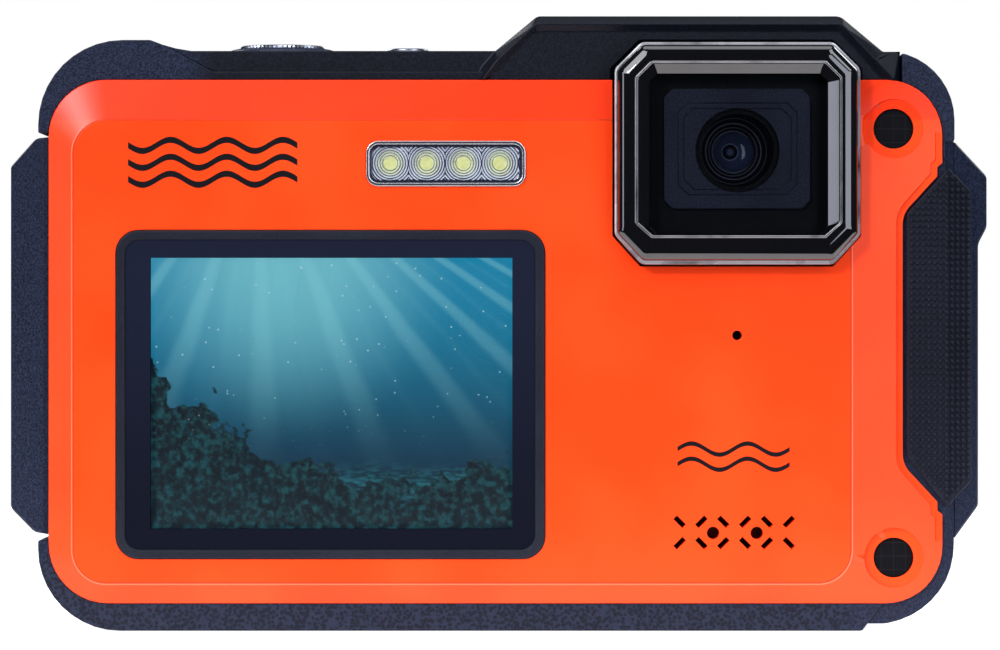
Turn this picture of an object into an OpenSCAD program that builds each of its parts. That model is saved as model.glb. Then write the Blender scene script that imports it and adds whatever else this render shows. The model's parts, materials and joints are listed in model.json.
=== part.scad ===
// Waterproof action camera with a front screen, a folded lens and a battery door on its left end.
// +Z is up, the lens looks along -Y, and the origin is the mouth of the tripod thread in the base.

/* [Case] */
// Left end of the case
case_left = -51.8; // [-52:0.1:-51.6]
// Right end of the case
case_right = 51.2; // [50.9:0.1:51.4]
// Height of the button deck
deck_z = 65.2; // [65:0.1:65.6]
// Height of the lens hump
hump_z = 69.1; // [68.6:0.1:70]
// Depth in front of the tripod axis, to the dark rim
rim_front = 10.4; // [10.3:0.1:10.6]
// Depth behind the tripod axis, to the rear face
case_back = 12; // [11.9:0.1:12.2]
// Thickness of the case walls
wall = 1.6; // [1.4:0.1:1.7]
// Thickness of the foot under the case
foot_t = 0.8; // [0.6:0.1:1]
// Height of the two case shells, under the top cover
shell_z = 60.6; // [60.4:0.1:60.8]

/* [Front cover] */
// Depth of the raised panel in front of the tripod axis
panel_front = 12; // [11.8:0.1:12.2]
// Step that the panel stands above its sloped border
panel_step = 0.15; // [0.1:0.05:0.2]
// Depth of the cover's thin outer edge
cover_edge = 10.9; // [10.8:0.1:11.1]
// Depth of the floor that the cover lies on
cover_floor = 9.5; // [9.4:0.1:9.6]
// Gap between the lens bezel and the orange cover
cover_gap = 0.15; // [0.1:0.05:0.2]
// Gap between the lens bezel and the shells behind it
shell_gap = 0.35; // [0.2:0.05:0.4]

/* [Lens] */
// Across position of the lens axis
lens_x = 26.7; // [26:0.1:27]
// Height of the lens axis
lens_z = 53.9; // [53.5:0.1:54]
// Radius of the lens barrel
barrel_r = 4.7; // [4.4:0.1:4.8]
// Depth of the bezel's ridge, the foremost point of the camera
bezel_front = 15.5; // [15:0.1:16]
// Depth of the bezel's outer edge
bezel_edge = 14.2; // [14:0.1:14.4]
// Depth of the window's outer face
window_front = 14.7; // [14.6:0.1:14.8]
// Thickness of the window
window_t = 0.9; // [0.7:0.1:1]

/* [Video light] */
// Across position of the first of the four lights
light_x = -12.2; // [-12.4:0.1:-12]
// Distance between the lights
light_pitch = 4.1; // [4:0.05:4.2]
// Height of the lights
light_z = 52.5; // [52:0.1:53]

/* [Screens] */
// Width of the front screen's picture
front_picture_w = 40.6; // [40:0.1:41]
// Height of the front screen's picture
front_picture_h = 30.4; // [30:0.1:31]
// Width of the rear screen's picture
rear_picture_w = 57.6; // [56:0.1:58]
// Height of the rear screen's picture
rear_picture_h = 43.2; // [42:0.1:44]

/* [Top buttons] */
// Across position of the shutter button
shutter_x = -24.8; // [-26:0.1:-24]
// Radius of the shutter button
shutter_r = 4.8; // [4.6:0.1:4.9]
// Radius of the collar round the shutter button
shutter_ring_r = 6.2; // [6.1:0.1:6.4]
// Height of the collar round the shutter button
collar_h = 0.7; // [0.5:0.1:0.8]
// Travel of the shutter button
shutter_travel = 0.8; // [0.5:0.1:0.9]
// Across position of the power button
power_x = -10.4; // [-11:0.1:-10]
// Radius of the power button
power_r = 2.3; // [2.2:0.1:2.4]
// Radius of the ring round the power button
power_ring_r = 2.8; // [2.7:0.1:3]
// Height of the ring round the power button
power_ring_h = 0.5; // [0.4:0.1:0.6]
// Depth position of both buttons behind the tripod axis
button_y = 1; // [0.5:0.1:2]

/* [Rear keys] */
// Across position of the keys' centre
keys_x = -34; // [-34.5:0.1:-33.5]
// Height of the centre key
keys_z = 28; // [27:0.1:29]
// Radius of the centre key
ok_r = 3.6; // [3.4:0.1:3.7]
// Radius of the small round keys
key_r = 2.8; // [2.6:0.1:3]
// How far the keys stand out of the rear face
key_proud = 0.5; // [0.4:0.1:0.6]
// Gap between a key and its hole
key_gap = 0.12; // [0.1:0.01:0.15]

/* [Battery door] */
// Outer face of the door
door_left = -55.2; // [-55.3:0.1:-54.9]
// Across position of the door's hinge axis
hinge_x = -52.6; // [-52.7:0.1:-52.5]
// Depth position of the door's hinge axis
hinge_y = 8.5; // [8.4:0.1:8.6]
// Radius of the hinge knuckles
knuckle_r = 1.75; // [1.7:0.05:1.8]
// Radius of the hinge pin
pin_r = 0.8; // [0.7:0.05:0.85]
// Travel of the latch
latch_travel = 3; // [2.5:0.1:3]

/* [Tripod thread] */
// Radius of the thread's bore, for a quarter-inch screw
thread_r = 2.55; // [2.5:0.01:2.6]
// Depth of the thread
thread_depth = 5.5; // [5:0.1:6]

/* [Hidden] */
$fn = 64;

navy = [0.12, 0.13, 0.19];
orange = [0.99, 0.32, 0.15];
gloss_black = [0.03, 0.03, 0.04];
silver = [0.8, 0.8, 0.82];

// The dark rim's corners
bottom_left_r = 9.2;
bottom_right_r = 9;
top_left_r = 9.5;
top_right_r = 7.75;
// Recess of the case side that the door closes
door_side = -50.65;
door_low = 10.1;
door_high = 55.95;
// Plane where the front housing meets the main housing
split_y = -8.5;
// Plane inside the screw posts where the two shells meet
post_split = -3;
rear_wall_in = case_back - wall;

// Outlines are lists of [x, z, corner radius], seen from the front.
CASE = [
    [case_left, 0, bottom_left_r], [case_right, 0.8, bottom_right_r], [case_right, 52, 0],
    [49, 54, 0], [49, shell_z, 4], [-49.4, shell_z, 4.4], [-49.4, door_high, 0],
    [door_side, 54.6, 0], [door_side, door_low, 0], [case_left, door_low, 0]
];
COVER = [
    [-50.6, 3.1, 6.7], [49.8, 3.1, 6.4], [49.8, 13.1, 0.3], [49.25, 13.5, 0], [49.25, 14.5, 0.3],
    [45.35, 18.7, 3], [45.35, 46.8, 3], [49.25, 51.05, 0.3], [49.25, 52.1, 0], [49.8, 52.5, 0.3],
    [49.8, 61.9, 6.3], [-50.6, 61.9, 6.4]
];
COVER_BOX = [[-50.6, 3.1, 6.7], [49.8, 3.1, 6.4], [49.8, 61.9, 6.3], [-50.6, 61.9, 6.4]];
PANEL = [[-47.8, 5.4, 3.6], [39.5, 5.4, 3.9], [39.5, 57.4, 3.9], [-47.8, 57.4, 3.9]];
TOP = [
    [-32.2, shell_z, 0], [45.1, shell_z, 0], [45.1, deck_z - 0.1, 0.3], [43.2, deck_z - 0.1, 0],
    [38.4, hump_z, 1.6], [4.3, hump_z, 1.1], [-0.4, deck_z, 0], [-34.6, deck_z, 0],
    [-36.4, 65.5, 0], [-38, 65.95, 0], [-32.2, 62.85, 0]
];
// The hump's front: its foot line, in two parts that leave the step at its right end open, the
// ridge of its chamfer and the flat face sunk inside the ridge
HUMP = [
    [-3.4, shell_z, 0], [43.2, shell_z, 0], [43.2, deck_z - 0.1, 0], [38.4, hump_z, 1.6],
    [4.3, hump_z, 1.1], [-0.4, deck_z, 0], [-1.9, 63.4, 0]
];
HUMP_RIDGE = [
    [-2.3, shell_z, 0], [42.3, shell_z, 0], [42.3, 64.1, 0], [38.5, 68.15, 1.2], [4.1, 68.15, 1.4],
    [-0.4, 63.9, 0], [-1.8, 62, 0]
];
HUMP_END = [[38, shell_z, 0], [45.1, shell_z, 0], [45.1, deck_z - 0.1, 0], [38, deck_z - 0.1, 0]];
END_RIDGE = [[38, shell_z, 0], [44.4, shell_z, 0], [44.4, 61.9, 0], [42.3, 64.1, 0], [38, 64.1, 0]];
RIDGE_LINE = [
    [-2.3, shell_z, 0], [44.4, shell_z, 0], [44.4, 61.9, 0], [38.5, 68.15, 1.2], [4.1, 68.15, 1.4],
    [-0.4, 63.9, 0], [-1.8, 62, 0]
];
HUMP_FACE = [
    [-1.4, shell_z - 0.1, 0], [43.7, shell_z - 0.1, 0], [43.7, 61.3, 0], [38.2, 67.35, 0.6],
    [4.2, 67.35, 0.5], [-0.9, 62.2, 0]
];
TOP_HOLLOW = [
    [-30.4, 60.5, 0], [42.6, 60.5, 0], [42.6, 62.9, 0], [37, 67, 0], [5, 67, 0], [0.6, 62.9, 0],
    [-30.4, 62.9, 0]
];
LEFT_BUMPER = [
    [case_left, door_high, 0], [-46, door_high, 0], [-46, 58, 0], [-32.2, 58, 0], [-32.2, 62.85, 0],
    [-38, 65.95, 0], [-39.2, 66.4, 1], [case_left, 66.4, top_left_r]
];
// The lip that carries the left bumper's front on under the button deck
LIP = [[-32.2, shell_z, 0], [0, shell_z, 0], [0, 62.85, 0], [-32.2, 62.85, 0]];
RIGHT_BUMPER = [[40, 52, 0], [case_right, 52, 0], [case_right, 65.15, top_right_r], [40, 65.15, 0]];
FOOT = [
    [case_left, 0, bottom_left_r], [40.8, 0, 0], [43.4, 3.4, 0], [43.4, door_low, 0],
    [case_left, door_low, 0]
];
grip_right = 55.2;
GRIP_PLATE = [
    [case_right, 10.2, 0], [54.15, 13.9, 0], [54.15, 43.5, 0], [grip_right, 45.4, 0],
    [grip_right, 51.2, 0], [case_right, 55.1, 0]
];
GRIP_PAD = [[50.3, 13.9, 0], [53.25, 16.8, 0], [53.25, 49.4, 0], [50.45, 52, 0], [45.8, 46.9, 0], [45.8, 19.6, 0]];
DOOR = [
    [-50.75, 10.8, 0], [-50.75, 55.5, 0], [-52.2, 55.4, 0], [door_left, 52.3, 0],
    [door_left, 13.6, 0], [-52.4, 11, 0]
];
BEZEL = octagon(12.9, 40.4, 41.1, 66, 3, 3.3);
RIDGE = octagon(15.2, 38.3, 44.1, 63.8, 1.8, 1.6);
WINDOW = octagon(16.8, 36.7, 44.5, 62.4, 0.9, 0.9);
MASK = octagon(18.5, 34.8, 47.4, 60.8, 0.9, 0.9);
FRONT_SCREEN = rounded(-43, 5.2, 8.1, 45, 2.6);
FRONT_GLASS = rounded(-41.9, 4, 9.2, 43.9, 1.6);
LIGHT = rounded(-14.9, 3, 49.9, 55, 1.35);
LIGHT_INNER = rounded(-14.5, 2.6, 50.3, 54.6, 1);
REAR_GLASS = rounded(-21.4, 41.6, 6.6, 54.6, 2);

// Cross sections seen from above, as [x, y]
pad_t = 0.8;
grip_bend_x = 50.2;
grip_slope = 2.2 / 2.8;
GRIP_SECTION = [
    [45, -rim_front], [grip_bend_x, -rim_front],
    [grip_right, -rim_front + (grip_right - grip_bend_x) * grip_slope],
    [grip_right, 7.5], [case_right, 10.6], [45, 10.6]
];
DOOR_SECTION = [
    [-50.75, -9.6], [-50.75, hinge_y - 2], [door_left, hinge_y - 2], [door_left, -6.9], [-51.3, -9.6]
];

// Door opening in the side of the main housing: depth and height
opening_y = [-7, 5.2];
opening_z = [15.5, 50.5];
knuckle_z = [18, 48];
hinge_z = [12.5, 53.5];
latch_y = -2;
latch_z = 38;

// Places of the screws, shared by both shells, the main board and the screws
SCREWS = [[-44.5, 8], [44.3, 8.25], [44.3, 56.4], [-44.6, 56.2]];
post_r = 2.4;
screw_r = 0.9;
cap_r = 2.25;
CAPS = [[44.3, 56.4], [44.3, 8.25]];
speaker_x = 26.45;
speaker_z = 11.05;
mic_z = 33.2;
mic_r = 0.54;
board_y = [7, 7.8];

// Places of the small rear keys, the lamp between the upper two and the zoom rocker above them
small_keys = [[keys_x - 8.5, 44], [keys_x + 8.5, 44], [keys_x + 8.5, 12]];
switch_top = 57.5;
lamp_z = 44;
lamp_r = 0.8;
rocker_z = 54;
rocker_y = 11;

mask_front = -12.9;
shroud_front = -12.3;
lens_case_x = [20.4, 33];
lens_case_y = [-5.9, 4];
lens_case_z = [20, 58.9];

battery_x = [-46.6, -6.9];
battery_y = [-1.2, 4.8];
battery_z = [18.2, 48.8];
// Depths of the slot in the door that the latch's stem slides in
slot_y = [-5.2, -3];

function octagon(x0, x1, z0, z1, cut, low_cut) = [
    [x0 + cut, z0, 0], [x1 - cut, z0, 0], [x1, z0 + low_cut, 0], [x1, z1 - cut, 0],
    [x1 - cut, z1, 0], [x0 + cut, z1, 0], [x0, z1 - cut, 0], [x0, z0 + low_cut, 0]
];

function rounded(x0, x1, z0, z1, r) = [[x0, z0, r], [x1, z0, r], [x1, z1, r], [x0, z1, r]];

function unit(v) = v / norm(v);

// Points of the arc that rounds corner b, between its neighbours a and c
function corner(a, b, c, r, steps = 10) =
    let (
        u = unit(a - b),
        w = unit(c - b),
        half = acos(u * w) / 2,
        centre = b + unit(u + w) * r / sin(half),
        from = (b + u * r / tan(half) - centre) / r,
        to = (b + w * r / tan(half) - centre) / r,
        turn = 180 - 2 * half
    )
    [for (i = [0:steps]) centre + r * (from * sin(turn * (1 - i / steps)) + to * sin(turn * i / steps)) / sin(turn)];

function flat(p) = [p[0], p[1]];

function path(outline) =
    let (n = len(outline))
    [for (i = [0:n - 1])
        let (p = outline[i], a = outline[(i + n - 1) % n], c = outline[(i + 1) % n])
        each (p[2] == 0 ? [flat(p)] : corner(flat(a), flat(p), flat(c), p[2]))];

// Extrudes a shape drawn as x and z from depth y0 back to depth y1
module slab(y0, y1) {
    translate([0, y1, 0]) rotate([90, 0, 0]) linear_extrude(y1 - y0) children();
}

module plate(outline, y0, y1, grow = 0) {
    slab(y0, y1)
        if (grow == 0) polygon(path(outline));
        else offset(delta = grow) polygon(path(outline));
}

module block(x, y, z) {
    translate([x[0], y[0], z[0]]) cube([x[1] - x[0], y[1] - y[0], z[1] - z[0]]);
}

// A cylinder along Y from y0 back to y1
module rod_y(x, z, r, y0, y1) {
    translate([x, y1, z]) rotate([90, 0, 0]) cylinder(h = y1 - y0, r = r);
}

module rod_z(x, y, r, z0, z1) {
    translate([x, y, z0]) cylinder(h = z1 - z0, r = r);
}

module cover_recess() {
    plate(COVER, -20, -cover_floor);
}

module bezel_recess(gap) {
    plate(BEZEL, -20, -cover_floor, gap);
}

module above_foot() {
    block([-60, 60], [-30, 30], [foot_t, 80]);
}

// The room inside the case walls, or that room made smaller all round by inset
module inside(y0, y1, inset) {
    intersection() {
        plate(CASE, y0, y1, -wall - inset);
        block([-60, 60], [-30, 30], [foot_t + wall + inset, 80]);
    }
}

// The cut that slopes the case and the grip plate back at the right end
module grip_front_cut() {
    translate([0, 0, 5]) linear_extrude(50.1)
        polygon([[grip_bend_x, -rim_front], [60, -rim_front + (60 - grip_bend_x) * grip_slope], [60, -20], [grip_bend_x, -20]]);
}

module screw_posts(y0, y1) {
    for (p = SCREWS) rod_y(p[0], p[1], post_r, y0, y1);
}

module screw_bores(r, y0, y1) {
    for (p = SCREWS) rod_y(p[0], p[1], r, y0, y1);
}

module front_housing() {
    color(navy) difference() {
        union() {
            intersection() {
                plate(CASE, -rim_front, split_y);
                above_foot();
            }
            // The tongue that centres this half in the main housing
            difference() {
                inside(split_y - 0.2, split_y + 1, 0.05);
                inside(split_y - 1, split_y + 2, 1);
            }
            screw_posts(split_y, post_split);
        }
        cover_recess();
        bezel_recess(shell_gap);
        grip_front_cut();
        screw_bores(screw_r, split_y, 0);
        rod_y(lens_x, lens_z, barrel_r + 0.05, -20, 0);
        block([-40.6, 3], [-20, 0], [10.4, 43]);
        block([-14.2, 2.3], [-20, 0], [50.6, 54.4]);
        block([18.5, 34.5], [-20, 0], [8.4, 13.8]);
        rod_y(lens_x, mic_z, mic_r, -20, 0);
    }
}

module arrow_sector(grow, y0, y1) {
    intersection() {
        difference() {
            rod_y(0, 0, 8.8 + grow, y0, y1);
            rod_y(0, 0, 4.7 - grow, y0 - 1, y1 + 1);
        }
        slab(y0 - 1, y1 + 1) translate([-grow * 1.6, 0]) polygon([[0, 0], [12, 9.4], [12, -9.4]]);
    }
}

module at_arrow(turn) {
    translate([keys_x, 0, keys_z]) rotate([0, turn, 0]) children();
}

module main_housing() {
    color(navy) difference() {
        union() {
            difference() {
                intersection() {
                    plate(CASE, split_y, case_back);
                    above_foot();
                }
                inside(split_y - 1, rear_wall_in, 0);
                // The groove of the case seal
                intersection() {
                    seal_ring(split_y - 1, split_y + 0.6);
                    block([-60, 60], [-30, 30], [foot_t + 0.4, 80]);
                }
            }
            screw_posts(post_split, case_back - 0.5);
            rod_z(0, 0, 4.6, foot_t, 7.3);
            for (z = [[hinge_z[0], knuckle_z[0] - 0.2], [knuckle_z[1] + 0.2, hinge_z[1]]]) {
                rod_z(hinge_x, hinge_y, knuckle_r, z[0], z[1]);
                block([hinge_x, door_side + 0.2], [hinge_y - knuckle_r, hinge_y + knuckle_r], z);
            }
        }
        grip_front_cut();
        block([-60, -47], opening_y, opening_z);
        rod_z(hinge_x, hinge_y, pin_r + 0.05, 0, 80);
        rod_z(0, 0, 3.6, -1, 6.4);
        screw_bores(screw_r + 0.1, -10, 30);
        screw_bores(1.8, case_back - 1.1, 30);
        plate(REAR_GLASS, case_back - 0.5, 30);
        block([-19.6, 39.8], [0, 30], [8.4, 52.8]);
        rod_z(shutter_x, button_y, 1.25, 55, 70);
        rod_z(power_x, button_y, 0.95, 55, 70);
        for (p = small_keys) rod_y(p[0], p[1], key_r + key_gap, 0, 30);
        rod_y(keys_x, keys_z, ok_r + key_gap, 0, 30);
        for (turn = [0:90:270]) at_arrow(turn) arrow_sector(key_gap, 0, 30);
        plate(rounded(keys_x - 7.9, keys_x + 7.9, rocker_z - 2.9, rocker_z + 2.9, 1.6), case_back - 1, 30);
        block([keys_x - 1.8, keys_x + 1.8], [0, 30], [rocker_z - 1.7, rocker_z + 1.7]);
        rod_y(keys_x, lamp_z, lamp_r, 0, 30);
    }
}

module seal_ring(y0, y1) {
    difference() {
        plate(CASE, y0, y1, -0.5);
        plate(CASE, y0 - 1, y1 + 1, -1.1);
    }
}

module case_seal() {
    color("dimgray") intersection() {
        seal_ring(split_y, split_y + 0.6);
        block([-60, 60], [-30, 30], [foot_t + 0.4, 80]);
    }
}

module speaker_slots() {
    for (row = [0, 1]) for (i = [0:5])
        translate([20.25 + 2.45 * i, 0, row == 0 ? 12.3 : 9.9])
            rotate([0, (i + row) % 2 == 0 ? 45 : -45, 0])
                block([-0.72, 0.72], [-20, 0], [-0.29, 0.29]);
    for (x = [24, 28.9]) rod_y(x, speaker_z, 0.7, -20, 0);
}

module front_cover() {
    color(orange) difference() {
        union() {
            plate(COVER_BOX, -cover_edge, -cover_floor);
            hull() {
                plate(COVER_BOX, -cover_edge, 0.1 - cover_edge);
                plate(PANEL, panel_step - panel_front, panel_step + 0.1 - panel_front);
            }
            plate(PANEL, -panel_front, panel_step - panel_front);
        }
        // The cut-out for the grip, with a thin step along its edge
        difference() {
            block([44, 60], [-30, 0], [10, 56]);
            plate(COVER, -31, 1);
        }
        difference() {
            block([44, 60], [-30, -cover_edge], [10, 56]);
            plate(COVER, -31, 1, -0.75);
        }
        bezel_recess(cover_gap);
        plate(FRONT_SCREEN, -20, 0);
        plate(LIGHT, -20, 0);
        for (p = CAPS) {
            rod_y(p[0], p[1], cap_r, -20, 0);
            rod_y(p[0], p[1], 3.35, -20, -11.05);
        }
        rod_y(lens_x, mic_z, mic_r, -20, 0);
        speaker_slots();
    }
}

module top_cover() {
    color(navy) difference() {
        union() {
            plate(TOP, -9.9, case_back - 0.6);
            hull() {
                plate(HUMP, -9.9, -9.8);
                plate(HUMP_RIDGE, -11.1, -11);
            }
            hull() {
                plate(HUMP_END, -9.9, -9.8);
                plate(END_RIDGE, -11.1, -11);
            }
        }
        hull() {
            plate(RIDGE_LINE, -11.2, -11.1);
            plate(HUMP_FACE, -10.6, -10.5);
        }
        plate(TOP_HOLLOW, -8.8, case_back - 2.2);
        cover_recess();
        bezel_recess(shell_gap);
        rod_z(shutter_x, button_y, shutter_r + key_gap, 60, 70);
        rod_z(power_x, button_y, power_r + key_gap, 60, 70);
    }
}

module left_bumper() {
    color(navy) difference() {
        union() {
            plate(LEFT_BUMPER, -rim_front - 0.2, case_back - 0.4);
            plate(LIP, -rim_front - 0.2, -9.9);
        }
        plate(CASE, -30, 30);
        cover_recess();
    }
}

module right_bumper() {
    color(navy) difference() {
        intersection() {
            plate(RIGHT_BUMPER, -rim_front - 0.2, case_back - 0.4);
            block([45.3, 60], [-30, 30], [0, 80]);
        }
        plate(CASE, -30, 30);
        cover_recess();
        grip_front_cut();
    }
}

module base_foot() {
    color(navy) difference() {
        union() {
            intersection() {
                plate(FOOT, -rim_front - 0.4, case_back - 0.8);
                block([-60, 60], [-30, 30], [0, foot_t]);
            }
            plate(FOOT, -rim_front - 0.4, -rim_front);
        }
        cover_recess();
        rod_z(0, 0, 3.65, -1, 5);
    }
}

module grip_plate() {
    color(navy) intersection() {
        plate(GRIP_PLATE, -20, 20);
        linear_extrude(70) polygon(GRIP_SECTION);
    }
}

module grip_pad() {
    color([0.2, 0.21, 0.25]) intersection() {
        plate(GRIP_PAD, -20, 0);
        linear_extrude(70) polygon([
            [45, -rim_front - pad_t], [grip_bend_x, -rim_front - pad_t],
            [60, -rim_front - pad_t + (60 - grip_bend_x) * grip_slope],
            [60, -rim_front + (60 - grip_bend_x) * grip_slope],
            [grip_bend_x, -rim_front], [45, -rim_front]
        ]);
    }
}

module lens_bezel() {
    color(gloss_black) difference() {
        union() {
            plate(BEZEL, -bezel_edge, -cover_floor);
            hull() {
                plate(BEZEL, -bezel_edge, 0.1 - bezel_edge);
                plate(RIDGE, -bezel_front, 0.1 - bezel_front);
            }
        }
        hull() {
            plate(RIDGE, -bezel_front - 0.1, -bezel_front, -0.1);
            plate(WINDOW, -window_front - 0.1, -window_front);
        }
        plate(WINDOW, -20, 0);
    }
}

module lens_window() {
    color([0.1, 0.1, 0.12, 0.4]) plate(WINDOW, -window_front, window_t - window_front);
}

module lens_mask() {
    color([0.13, 0.14, 0.2]) difference() {
        plate(MASK, mask_front, shroud_front);
        rod_y(lens_x, lens_z, barrel_r, -20, 0);
    }
}

module lens_shroud() {
    color(gloss_black) difference() {
        plate(WINDOW, shroud_front, -cover_floor);
        rod_y(lens_x, lens_z, barrel_r, -20, 0);
    }
}

// Turns a profile of [radius, depth] about the lens axis
module on_lens_axis() {
    translate([lens_x, 0, lens_z]) rotate([90, 0, 0]) rotate_extrude() children();
}

module lens_barrel() {
    color(gloss_black) on_lens_axis() polygon([
        [barrel_r, 12.4], [barrel_r, -lens_case_y[0]], [2, -lens_case_y[0]], [2, 6.2], [2.2, 6.2],
        [2.2, 7.2], [2.45, 7.2], [2.45, 7.9], [3.1, 8.4], [3.1, 9.2], [4.1, 10.6], [4.1, 12.4]
    ]);
}

module front_lens() {
    color([0.2, 0.2, 0.35, 0.6]) translate([lens_x, -6.2, lens_z]) rotate([90, 0, 0]) intersection() {
        cylinder(h = 1, r = 2.15);
        translate([0, 0, -2.4]) sphere(r = 3.3);
    }
}

module lens_case() {
    color([0.15, 0.15, 0.15]) difference() {
        block(lens_case_x, lens_case_y, lens_case_z);
        rod_y(lens_x, lens_z, 2, -10, 0);
        block([lens_x - 4, lens_x + 4], [-4.9, 3], [lens_z - 4, lens_z + 4]);
        rod_z(lens_x, -1, 3.5, 25, lens_z);
        block([lens_x - 5, lens_x + 5], [-4.9, 3], [19, 25]);
    }
}

module lens_prism() {
    color([0.7, 0.75, 0.8, 0.5]) translate([lens_x - 3.6, 0, 0]) rotate([90, 0, 90]) linear_extrude(7.2)
        polygon([[-4.6, lens_z + 3.6], [-4.6, lens_z - 3.6], [2.6, lens_z - 3.6]]);
}

module lens_group() {
    color([0.7, 0.75, 0.85, 0.5]) for (z = [30, 36, 42]) rod_z(lens_x, -1, 3.5, z, z + 1.6);
}

module image_sensor() {
    color([0.1, 0.25, 0.15]) union() {
        block([lens_x - 5, lens_x + 5], [-4.9, 3], [20.4, 21.4]);
        block([lens_x - 3.2, lens_x + 3.2], [-3.4, 1.4], [21.4, 22.2]);
    }
}

module light_rim() {
    color(silver) difference() {
        plate(LIGHT, -12.35, -cover_floor);
        plate(LIGHT_INNER, -20, 0);
    }
}

module light_lens() {
    color([0.9, 0.92, 0.9, 0.5]) plate(LIGHT_INNER, -12.2, -11.3);
}

module light_reflector() {
    color([0.35, 0.35, 0.42]) difference() {
        union() {
            plate(LIGHT_INNER, -11.3, -cover_floor);
            block([-14.2, 2.3], [-cover_floor, -8.4], [50.6, 54.4]);
        }
        for (i = [0:3]) rod_y(light_x + i * light_pitch, light_z, 1.85, -20, 0);
    }
}

module light_leds() {
    color([0.85, 0.85, 0.45]) for (i = [0:3]) rod_y(light_x + i * light_pitch, light_z, 0.8, -9, -8.4);
}

module light_board() {
    color([0.1, 0.3, 0.18]) block([-15, 3.1], [-8.4, -7.6], [49.8, 55.2]);
}

module front_screen_frame() {
    color([0.24, 0.24, 0.3]) difference() {
        plate(FRONT_SCREEN, -12.2, -cover_floor);
        plate(FRONT_GLASS, -20, 0);
    }
}

module front_screen_glass() {
    color([0.1, 0.11, 0.16, 0.5]) plate(FRONT_GLASS, -11.95, -10.9);
}

module front_screen_panel() {
    centre_x = -18.8;
    centre_z = 26.7;
    w = front_picture_w / 2;
    h = front_picture_h / 2;
    color([0.1, 0.5, 0.6]) block([centre_x - w, centre_x + w], [-10.9, -8.7], [centre_z - h, centre_z + h]);
}

module corner_caps() {
    color([0.08, 0.08, 0.09]) for (p = CAPS) rod_y(p[0], p[1], cap_r, -10.6, -cover_floor);
}

module speaker() {
    color([0.1, 0.1, 0.1]) union() {
        block([17, 36], [-8.4, -5], [6.2, 16]);
        block([18.6, 34.4], [-cover_floor, -8.4], [8.5, 13.7]);
    }
}

module microphone() {
    color(silver) rod_y(lens_x, mic_z, 2, -8.4, -6.2);
}

module rear_screen_glass() {
    color([0.05, 0.05, 0.07, 0.6]) plate(REAR_GLASS, case_back - 0.5, case_back + 0.3);
}

module rear_screen_panel() {
    centre_x = 10.1;
    centre_z = 30.6;
    w = rear_picture_w / 2;
    h = rear_picture_h / 2;
    color([0.15, 0.17, 0.2]) block([centre_x - w, centre_x + w], [8.9, case_back - 0.5], [centre_z - h, centre_z + h]);
}

module main_board() {
    color([0.1, 0.3, 0.18]) difference() {
        block([-46, 46], board_y, [5, 57.4]);
        screw_bores(post_r + 0.2, 0, 20);
    }
}

module board_parts() {
    color([0.12, 0.12, 0.13]) union() {
        block([-3, 9], [5.6, board_y[0]], [20, 32]);
        block([-3, 9], [5.8, board_y[0]], [35, 46]);
        block([11, 18], [5.9, board_y[0]], [26, 36]);
        for (p = concat(small_keys, [[keys_x, keys_z]])) rod_y(p[0], p[1], 1.6, board_y[1], 8.6);
        for (turn = [0:90:270]) at_arrow(turn) rod_y(6.8, 0, 1, board_y[1], 8.6);
    }
}

module battery() {
    color([0.18, 0.18, 0.2]) block(battery_x, battery_y, battery_z);
}

module battery_tray() {
    color([0.2, 0.2, 0.22]) difference() {
        block([-46.8, -5], [-2.2, 5.8], [17.2, 49.8]);
        block([-47, -5.8], [battery_y[0] - 0.1, battery_y[1] + 0.1], [battery_z[0] - 0.1, battery_z[1] + 0.1]);
    }
}

module battery_contacts() {
    color("gold") for (z = [28, 33.5, 39]) block([-6.9, -5.8], [0.8, 2.8], [z - 0.7, z + 0.7]);
}

module card_slot() {
    color(silver) difference() {
        block([-46.6, -30], [-6.6, -4.4], [18, 31]);
        block([-47, -31], [-6.1, -4.9], [18.9, 30.1]);
    }
}

module usb_port() {
    color(silver) difference() {
        block([-46.6, -39.4], [-6.9, -3.3], [33.2, 42.6]);
        block([-47, -40], [-6.5, -3.7], [33.6, 42.2]);
    }
}

module case_screws() {
    color(silver) for (p = SCREWS) difference() {
        union() {
            rod_y(p[0], p[1], 1.7, case_back - 1.1, case_back - 0.1);
            rod_y(p[0], p[1], screw_r, -7.5, case_back - 1.1);
        }
        translate([p[0], 0, p[1]]) for (turn = [0, 90]) rotate([0, turn, 0])
            block([-1, 1], [case_back - 0.6, case_back], [-0.2, 0.2]);
    }
}

module tripod_insert() {
    color("goldenrod") difference() {
        rod_z(0, 0, 3.6, 0, 6.4);
        rod_z(0, 0, thread_r, -1, thread_depth);
    }
}

module hinge_pin() {
    color(silver) rod_z(hinge_x, hinge_y, pin_r, hinge_z[0], hinge_z[1]);
}

module battery_door() {
    color(navy) difference() {
        union() {
            intersection() {
                plate(DOOR, -20, 20);
                linear_extrude(70) polygon(DOOR_SECTION);
            }
            block([-50.75, -49.2], [opening_y[0] + 0.8, opening_y[1] - 0.6], [opening_z[0] + 0.8, opening_z[1] - 0.8]);
            rod_z(hinge_x, hinge_y, knuckle_r, knuckle_z[0], knuckle_z[1]);
            block([hinge_x - knuckle_r, hinge_x + knuckle_r], [hinge_y - 2.2, hinge_y], knuckle_z);
        }
        rod_z(hinge_x, hinge_y, pin_r + 0.05, 0, 80);
        door_seal_ring();
        // The pocket of the latch's thumb piece, and the slot of its stem
        block([-60, -53.2], [latch_y - 3.3, latch_y + 3.3], [latch_z - 0.3, latch_z + 8 + latch_travel + 0.3]);
        block([-60, -40], slot_y, [latch_z + 4.8, latch_z + 7.2 + latch_travel]);
    }
}

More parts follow.
